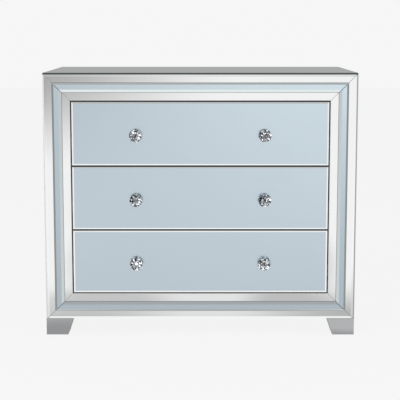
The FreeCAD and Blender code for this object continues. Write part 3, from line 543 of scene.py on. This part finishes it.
def mirror(name, low, high, bevel, edge, faces, satin, textures, seam=NO_GAP_SHADE):
    """Silvered glass whose tone goes from low to high up the chest, as painted shade near the floor and
    painted light near the top, with bright bevels and ground edges.

    The seam is the depth past which, and the two heights between which, level bevels take the dark edge
    colour too, as painted shade in the gap between two drawers.
    """
    material, tree, shader = new_material(name)
    depth, lowest, highest = seam
    plate = use_group(tree, plate_faces, {
        "Faces": faces, "Seam depth": depth, "Seam low": lowest, "Seam high": highest,
    })
    marks = use_group(tree, polish_marks, {
        "Size": textures.smudge, "Clear": satin, "Hazed": satin + SMUDGE_BLUR,
    })
    # Painted shade and light: the glass is darkened towards the floor and lightened towards the top.
    height = split(tree, place_on_piece(tree))["Z"]
    rise = math_of(tree, "POWER", math_of(tree, "DIVIDE", height, cad_box[1].z), FLOOR_SHADE_RISE)
    glass = blend_colours(tree, rise, rgba(low), rgba(high))
    tone = blend_colours(tree, plate["Bevel"], glass, rgba(bevel))
    dim = ramp(tree, marks["Haze"], 0.0, 1.0, start=1.0, end=1.0 - textures.haze)
    tone = blend_colours(tree, 1.0, tone, grey(tree, dim), "MULTIPLY")
    polish = blend_values(tree, plate["Bevel"], marks["Roughness"], POLISH)
    set_inputs(tree, shader, {
        "Base Color": blend_colours(tree, plate["Edge"], tone, rgba(edge)),
        "Metallic": plate["Silvered"],
        "Roughness": blend_values(tree, plate["Edge"], polish, GROUND),
        "Specular IOR Level": EDGE_GLOSS,
    })
    return material


def cut_crystal(finishes, textures):
    """Clear crystal with polished facets, some darkened with painted shade."""
    material, tree, shader = new_material("cut_crystal")
    marks = use_group(tree, polish_marks, {"Size": textures.crystal_mark, "Clear": 0.0, "Hazed": 0.015})
    facets = use_group(tree, painted_facet_shade, {
        "Bright": rgba(finishes.crystal), "Dark": rgba(finishes.crystal_dark),
    })
    set_inputs(tree, shader, {
        "Base Color": facets["Colour"],
        "Roughness": marks["Roughness"],
        "Transmission Weight": 1.0,
        "IOR": CRYSTAL_IOR,
    })
    return material


def chrome(finishes, textures):
    """Polished plating with faint handling marks."""
    material, tree, shader = new_material("knob_chrome")
    marks = use_group(tree, polish_marks, {"Size": textures.base_mark, "Clear": 0.05, "Hazed": 0.16})
    set_inputs(tree, shader, {
        "Base Color": rgba(finishes.chrome), "Roughness": marks["Roughness"], "Metallic": 1.0,
    })
    return material


def plated_steel(name, tone, textures):
    """Zinc-plated sheet steel with rolling lines and faint spangle."""
    material, tree, shader = new_material(name)
    lines = use_group(tree, rolled_lines, {"Width": textures.rolling_line, "Tone": rgba(tone)})
    set_inputs(tree, shader, {
        "Base Color": lines["Colour"],
        "Roughness": lines["Roughness"],
        "Metallic": 1.0,
        "Normal": bump(tree, lines["Height"], ROLLING_DEPTH),
    })
    return material


def lacquered_board(name, tone, textures):
    """Sprayed lacquer on fibreboard."""
    material, tree, shader = new_material(name)
    skin = use_group(tree, sprayed_skin, {"Size": textures.lacquer_ripple, "Tone": rgba(tone)})
    set_inputs(tree, shader, {
        "Base Color": skin["Colour"],
        "Roughness": skin["Roughness"],
        "Normal": bump(tree, skin["Height"], RIPPLE_DEPTH),
    })
    return material


def pressed_hardboard(finishes, textures):
    """Hardboard with short pressed fibres and a darker mottle."""
    material, tree, shader = new_material("pressed_hardboard")
    fibres_sideways = (1.0, 1.0, 3.0)
    paler = 1.5
    place = place_on_piece(tree)
    drawn = vector_of(tree, "MULTIPLY", place, fibres_sideways)
    fibre = noise(tree, drawn, 1.0 / textures.fibre, detail=5.0, roughness=0.7)
    mottle = noise(tree, place, 1.0 / textures.hardboard_mottle, detail=3.0, roughness=0.55)
    dark = rgba(finishes.hardboard)
    pale = rgba([value * paler for value in finishes.hardboard])
    tone = blend_colours(tree, ramp(tree, fibre, low=0.42, high=0.62), dark, pale)
    shade = ramp(tree, mottle, low=0.35, high=0.7, start=0.0, end=0.14)
    set_inputs(tree, shader, {
        "Base Color": blend_colours(tree, shade, tone, dark, "MULTIPLY"),
        "Roughness": ramp(tree, fibre, NOISE_LOW, NOISE_HIGH, start=0.62, end=0.82),
        "Normal": bump(tree, fibre, FIBRE_DEPTH),
    })
    return material


def birch(name, stretch, finishes, textures):
    """Clear-lacquered birch with its grain along one axis."""
    material, tree, shader = new_material(name)
    grain = use_group(tree, board_grain, {
        "Stretch": stretch, "Ring": textures.growth_ring,
        "Light": rgba(finishes.birch_light), "Dark": rgba(finishes.birch_dark),
    })
    set_inputs(tree, shader, {
        "Base Color": grain["Colour"],
        "Roughness": grain["Roughness"],
        "Normal": bump(tree, grain["Height"], GRAIN_DEPTH),
    })
    return material


def moulded_nylon(finishes, textures):
    """Dark moulded nylon with a fine matt texture."""
    material, tree, shader = new_material("moulded_nylon")
    skin = use_group(tree, sprayed_skin, {"Size": textures.nylon_pit, "Tone": rgba(finishes.nylon)})
    set_inputs(tree, shader, {
        "Base Color": skin["Colour"],
        "Roughness": ramp(tree, skin["Height"], NOISE_LOW, NOISE_HIGH, start=0.5, end=0.62),
        "Normal": bump(tree, skin["Height"], PIT_DEPTH),
    })
    return material


# Pieces


def give(material, nodes):
    """Gives a finish to pieces of the chest."""
    for name in nodes:
        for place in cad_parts[name].material_slots:
            place.material = material


def of_drawers(*pieces):
    """The same pieces of all three drawers."""
    return [f"{drawer}_{piece}" for drawer in DRAWERS for piece in pieces]


def drawer_seam(panes, textures):
    """Depth and heights of the dull rims, darkened as painted shade, where the panes of two drawers face
    each other.
    """
    lowest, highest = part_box(panes[0]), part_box(panes[-1])
    depth = lowest[0].y + DRAWER_BEVEL_FALL * (1.0 - textures.ground_rim / DRAWER_BEVEL)
    return depth, (lowest[0].z + lowest[1].z) / 2, (highest[0].z + highest[1].z) / 2


def looks(context):
    """The colours and the marks that are set for the chest."""
    return context.scene.chest_finishes, context.scene.chest_textures


class CHEST_OT_silver_mirrors(Operator):
    """Silvers the flat front bands, the top, the sides and the feet"""

    bl_idname = "chest.silver_mirrors"
    bl_label = "Silver Mirrors"

    def execute(self, context):
        finishes, textures = looks(context)
        outer_bands = [f"outer_mirror_{side}" for side in SIDES]
        inner_bands = [f"inner_mirror_{side}" for side in SIDES]
        for name, glass, edge, faces, nodes in (
            ("silver_outer", finishes.silver, finishes.outer_edge, FACES_FRONT, outer_bands),
            ("silver_inner", finishes.silver, finishes.inner_edge, FACES_FRONT, inner_bands),
            ("silver_top", finishes.top, finishes.top_edge, FACES_UP, ["top_mirror"]),
            # The left and right sides differ only by painted light and shade on their ground edges.
            ("silver_left_lit_edge", finishes.silver, finishes.left_edge, FACES_SIDE, ["side_mirror_left"]),
            ("silver_right_shaded_edge", finishes.silver, finishes.right_edge, FACES_SIDE, ["side_mirror_right"]),
            ("silver_foot", finishes.foot, finishes.glass_edge, FACES_CORNER, ["foot_mirrors"]),
        ):
            give(mirror(name, glass, glass, finishes.bevel, edge, faces, POLISH, textures), nodes)
        return {"FINISHED"}


class CHEST_OT_blue_mirrors(Operator):
    """Gives the raised strips and the drawers their pale-blue mirrors"""

    bl_idname = "chest.blue_mirrors"
    bl_label = "Blue Mirrors"

    def execute(self, context):
        finishes, textures = looks(context)
        edge, satin = finishes.glass_edge, textures.satin
        strips = [f"raised_mirror_{side}" for side in SIDES]
        panes = of_drawers("drawer_mirror")
        # The seam paints shade on the bevels in the gaps between the drawers.
        seam = drawer_seam(panes, textures)
        # The low and high tones of the blue glass are painted shade near the floor and painted light near
        # the top.
        for name, low, high, bevel, ground, nodes in (
            ("blue_strip", finishes.strip_low, finishes.strip_high, finishes.raised_bevel, NO_GAP_SHADE, strips),
            ("blue_drawer", finishes.drawer_low, finishes.drawer_high, finishes.bevel, seam, panes),
        ):
            give(mirror(name, low, high, bevel, edge, FACES_FRONT, satin, textures, ground), nodes)
        return {"FINISHED"}


class CHEST_OT_knobs(Operator):
    """Gives the knobs clear crystal and their bases and screws polished plating"""

    bl_idname = "chest.knobs"
    bl_label = "Knobs"

    def execute(self, context):
        finishes, textures = looks(context)
        give(cut_crystal(finishes, textures), of_drawers("drawer_knobs"))
        give(chrome(finishes, textures), of_drawers("drawer_fittings"))
        return {"FINISHED"}


class CHEST_OT_runners(Operator):
    """Gives the runners, the ball cages and the screws plated steel"""

    bl_idname = "chest.runners"
    bl_label = "Runners and Screws"

    def execute(self, context):
        finishes, textures = looks(context)
        runners = ["runner_outers"] + of_drawers("drawer_runners", "ball_cages")
        give(plated_steel("runner_steel", finishes.zinc, textures), runners)
        give(plated_steel("screw_steel", finishes.screw, textures), ["case_screws"])
        return {"FINISHED"}


class CHEST_OT_case_boards(Operator):
    """Lacquers the case boards and the drawer fronts, and gives the back its hardboard"""

    bl_idname = "chest.case_boards"
    bl_label = "Case Boards"

    def execute(self, context):
        finishes, textures = looks(context)
        boards = [
            "side_panel_left", "side_panel_right", "top_panel", "bottom_panel", "runner_panel_left",
            "runner_panel_right", "drawer_rails", "face_frame_rails", "face_frame_stiles",
        ]
        give(lacquered_board("board_lacquer", finishes.lacquer, textures), boards)
        give(lacquered_board("front_lacquer", finishes.front_lacquer, textures), of_drawers("drawer_front"))
        give(pressed_hardboard(finishes, textures), ["back_panel"])
        return {"FINISHED"}


class CHEST_OT_drawer_boxes(Operator):
    """Gives the drawer boxes lacquered birch with its grain along each board"""

    bl_idname = "chest.drawer_boxes"
    bl_label = "Drawer Boxes"

    def execute(self, context):
        finishes, textures = looks(context)
        # How fast the grain changes along a board, and across it.
        along, across = 0.06, 1.0
        for name, stretch, nodes in (
            ("birch_sides", (across, along, across), of_drawers("drawer_sides")),
            ("birch_cross", (along, across, across), of_drawers("drawer_back", "drawer_bottom")),
        ):
            give(birch(name, stretch, finishes, textures), nodes)
        return {"FINISHED"}


class CHEST_OT_feet(Operator):
    """Lacquers the feet and gives them nylon glides"""

    bl_idname = "chest.feet"
    bl_label = "Feet"

    def execute(self, context):
        finishes, textures = looks(context)
        feet = [f"foot_{end}_{hand}" for end in ("front", "rear") for hand in ("left", "right")]
        give(lacquered_board("foot_lacquer", finishes.lacquer, textures), feet)
        give(moulded_nylon(finishes, textures), ["foot_glides"])
        return {"FINISHED"}


# Stage


def studio_level(tree, direction):
    """Brightness of the studio in each direction, as polished faces mirror it."""
    parts = split(tree, vector_of(tree, "NORMALIZE", direction))
    azimuth = math_of(tree, "ARCTAN2", parts["X"], math_of(tree, "MULTIPLY", parts["Y"], -1.0))
    elevation = math_of(tree, "ARCSINE", parts["Z"])
    level = STUDIO_BASE
    for name, middle_azimuth, middle_elevation, wide, high, brightness in STUDIO_PATCHES:
        values = {
            "Azimuth": azimuth,
            "Elevation": elevation,
            "Middle azimuth": math.radians(middle_azimuth),
            "Middle elevation": math.radians(middle_elevation),
            "Wide": math.radians(wide),
            "High": math.radians(high),
        }
        mask = use_group(tree, soft_patch, values, label=name)["Mask"]
        level = blend_values(tree, mask, level, brightness)
    return level


def sparkle_level(tree, direction):
    """Small bright lights before the dark, as the crystal breaks up what it sees of the studio."""
    lights = noise(tree, direction, SPARKLE_LIGHTS, detail=0.0)
    return ramp(tree, lights, low=0.55, high=0.62, start=SPARKLE_DARK, end=SPARKLE_BRIGHT)


def make_world(context, stage):
    """An even pale background, plain light on the boards, and a studio for the mirrors and the crystal."""
    world = bpy.data.worlds.new("studio")
    context.scene.world = world
    world.use_nodes = True
    tree = world.node_tree
    ray = add(tree, "ShaderNodeLightPath").outputs
    direction = add(tree, "ShaderNodeTexCoord").outputs["Generated"]
    studio, sparkle = studio_level(tree, direction), sparkle_level(tree, direction)
    level = blend_values(tree, ray["Is Glossy Ray"], stage.plain_light, studio)
    level = blend_values(tree, ray["Is Transmission Ray"], level, sparkle)
    light = blend_colours(tree, ray["Is Camera Ray"], grey(tree, level), rgba(stage.backdrop))
    put(tree, tree.nodes["Background"].inputs["Color"], light)


def make_floor(context, stage):
    """A wide pale floor that shows the backdrop's colour and a little of the chest's shadow."""
    reach = stage.floor_reach
    corners = [(-reach, -reach, 0), (reach, -reach, 0), (reach, reach, 0), (-reach, reach, 0)]
    mesh = bpy.data.meshes.new("floor")
    mesh.from_pydata(corners, [], [range(len(corners))])
    floor = bpy.data.objects.new("floor", mesh)
    context.scene.collection.objects.link(floor)
    material, tree, shader = new_material("floor")
    tree.nodes.remove(shader)
    ray = add(tree, "ShaderNodeLightPath").outputs
    lit = add(tree, "ShaderNodeBsdfDiffuse", {"Color": rgba(stage.backdrop)}).outputs[0]
    even = add(tree, "ShaderNodeEmission", {"Color": rgba(stage.backdrop)}).outputs[0]
    evenness = math_of(tree, "MULTIPLY", ray["Is Camera Ray"], 1.0 - stage.shadow)
    surface = add(tree, "ShaderNodeMixShader", {0: evenness, 1: lit, 2: even}).outputs[0]
    put(tree, tree.nodes["Material Output"].inputs["Surface"], surface)
    mesh.materials.append(material)
    floor.visible_glossy = False
    floor.visible_transmission = False


def make_lamp(context, name, place, watts):
    """A large soft lamp that shines at the chest, and that the mirrors don't show."""
    low, high = cad_box
    middle = (low + high) / 2
    diagonal = (high - low).length
    light = bpy.data.lights.new(name, "AREA")
    light.shape = "SQUARE"
    light.size = LAMP_WIDTH * diagonal
    light.energy = watts
    lamp = bpy.data.objects.new(name, light)
    lamp.location = middle + Vector(place) * diagonal
    lamp.rotation_euler = (middle - lamp.location).to_track_quat("-Z", "Y").to_euler()
    lamp.visible_glossy = False
    lamp.visible_transmission = False
    lamp.visible_camera = False
    context.scene.collection.objects.link(lamp)


def make_camera(context, stage):
    """The photograph's camera, level from side to side and looking down at the chest."""
    data = bpy.data.cameras.new("camera")
    data.lens = stage.focal_length
    camera = bpy.data.objects.new("camera", data)
    camera.location = (stage.camera_side, FRONT_PLANE - stage.camera_distance, stage.camera_height)
    camera.rotation_euler = (math.pi / 2 - stage.camera_pitch, 0.0, 0.0)
    context.scene.collection.objects.link(camera)
    context.scene.camera = camera


class CHEST_OT_stage(Operator):
    """Sets up the camera, the floor, the background and the light"""

    bl_idname = "chest.stage"
    bl_label = "Stage"

    def execute(self, context):
        stage = context.scene.chest_stage
        context.scene.view_settings.view_transform = "Standard"
        make_camera(context, stage)
        make_world(context, stage)
        make_floor(context, stage)
        make_lamp(context, "key_lamp", KEY_PLACE, stage.key_power)
        make_lamp(context, "fill_lamp", FILL_PLACE, stage.fill_power)
        return {"FINISHED"}


class CHEST_PT_sidebar(Panel):
    """The settings of the chest, and the steps that finish it in order"""

    bl_idname = "CHEST_PT_sidebar"
    bl_label = "Mirrored Chest"
    bl_space_type = "VIEW_3D"
    bl_region_type = "UI"
    bl_category = "Chest"

    def draw(self, context):
        for name, kind in GROUPS.items():
            box = self.layout.box()
            for setting in kind.__annotations__:
                box.prop(getattr(context.scene, name), setting)
        for operator in OPERATORS:
            self.layout.operator(operator.bl_idname)


GROUPS = {"chest_finishes": ChestFinishes, "chest_textures": ChestTextures, "chest_stage": ChestStage}
OPERATORS = (
    CHEST_OT_silver_mirrors, CHEST_OT_blue_mirrors, CHEST_OT_knobs, CHEST_OT_runners, CHEST_OT_case_boards,
    CHEST_OT_drawer_boxes, CHEST_OT_feet, CHEST_OT_stage,
)


def register():
    """Makes the settings, the steps and the sidebar known."""
    for kind in (*GROUPS.values(), *OPERATORS, CHEST_PT_sidebar):
        bpy.utils.register_class(kind)
    for name, kind in GROUPS.items():
        setattr(bpy.types.Scene, name, PointerProperty(type=kind))


def unregister():
    """Takes the settings, the steps and the sidebar away again."""
    for name in GROUPS:
        delattr(bpy.types.Scene, name)
    for kind in (CHEST_PT_sidebar, *reversed(OPERATORS), *GROUPS.values()):
        bpy.utils.unregister_class(kind)


def main():
    """Finishes the chest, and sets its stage."""
    register()
    bpy.ops.chest.silver_mirrors()
    bpy.ops.chest.blue_mirrors()
    bpy.ops.chest.knobs()
    bpy.ops.chest.runners()
    bpy.ops.chest.case_boards()
    bpy.ops.chest.drawer_boxes()
    bpy.ops.chest.feet()
    bpy.ops.chest.stage()


if __name__ == "__main__":
    main()
